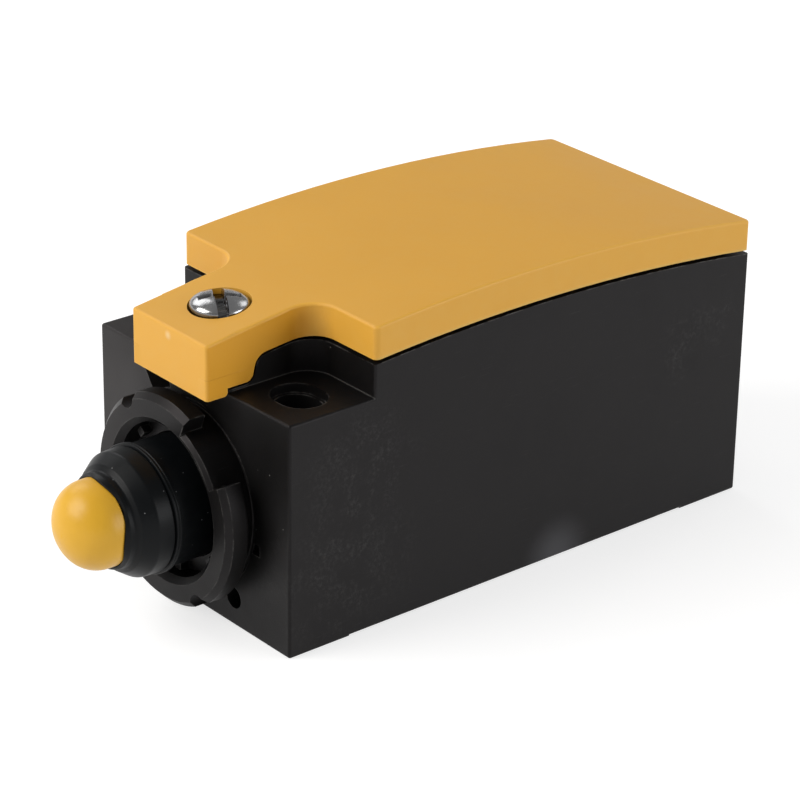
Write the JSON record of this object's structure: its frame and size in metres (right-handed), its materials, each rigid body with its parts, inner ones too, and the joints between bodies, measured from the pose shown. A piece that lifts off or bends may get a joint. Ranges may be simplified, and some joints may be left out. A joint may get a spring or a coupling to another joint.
{
  "type": "plunger limit switch",
  "caption": "Insulated plunger limit switch: black housing with fixing slots and a cable entry, yellow cover, and a domed, booted plunger that works a contact block inside.",
  "frame": {"origin": "midway between the two fixing slots, on the mounting face", "axes": "+X across the switch, +Y from the plunger towards the cable entry, +Z from the mounting face up to the cover"},
  "size_m": [0.031, 0.0769, 0.0335],
  "materials": {
    "housing_black": "matt moulded, fine grain",
    "cover_yellow": "satin moulded",
    "cap_yellow": "satin, slightly polished nose",
    "boot_rubber": "smooth, slightly shiny",
    "seal_rubber": "matt",
    "plated_steel": "zinc plated",
    "ground_steel": "ground",
    "spring_steel": "drawn wire",
    "brass": "stamped",
    "silver": "dull silver",
    "white_acetal": "satin",
    "block_cream": "matt thermoset"
  },
  "bodies": {
    "housing": {"housing": "housing_black", "bayonet_collar": "housing_black", "boot_retaining_ring": "housing_black", "boot": "boot_rubber", "collar_seal": "seal_rubber", "guide_bush": "white_acetal", "screw_insert": "brass", "return_spring": "spring_steel", "nc_terminal_right": "brass", "nc_terminal_left": "brass", "no_terminal_right": "brass", "no_terminal_left": "brass", "nc_fixed_tips": "silver", "no_fixed_tips": "silver", "terminal_screws": "plated_steel", "clamp_plates": "plated_steel", "contact_block_base": "block_cream", "contact_block_lid": "block_cream", "block_screws": "plated_steel"},
    "plunger": {"plunger_cap": "cap_yellow", "plunger_stem": "ground_steel", "stem_pin": "ground_steel", "contact_carrier": "white_acetal", "nc_contact_spring": "spring_steel", "no_contact_spring": "spring_steel"},
    "nc_bridge": {"nc_bridge": "brass", "nc_bridge_tips": "silver"},
    "no_bridge": {"no_bridge": "brass", "no_bridge_tips": "silver"},
    "cover": {"cover": "cover_yellow", "cover_gasket": "seal_rubber", "cover_screw": "plated_steel", "screw_retainer": "plated_steel"}
  },
  "joints": [
    {"name": "plunger_press", "type": "slide", "parent": "housing", "child": "plunger", "axis": [0, 1, 0], "range_m": [0, 0.005], "stiffness_N_per_m": 900, "springref_m": -0.006, "deforming": ["boot", "return_spring"]},
    {"name": "nc_bridge_slide", "type": "slide", "parent": "plunger", "child": "nc_bridge", "axis": [0, -1, 0], "range_m": [0, 0.002], "deforming": ["nc_contact_spring"]},
    {"name": "no_bridge_slide", "type": "slide", "parent": "plunger", "child": "no_bridge", "axis": [0, -1, 0], "range_m": [0, 0.002], "deforming": ["no_contact_spring"]},
    {"name": "cover_hinge", "type": "hinge", "parent": "housing", "child": "cover", "pos_m": [0, 0.05565, 0.02795], "axis": [-1, 0, 0], "range_deg": [0, 75]}
  ],
  "couplings": [
    {"joint": "nc_bridge_slide", "follows": "plunger_press", "ratio": 0.4},
    {"joint": "no_bridge_slide", "follows": "plunger_press", "ratio": 0.4}
  ]
}
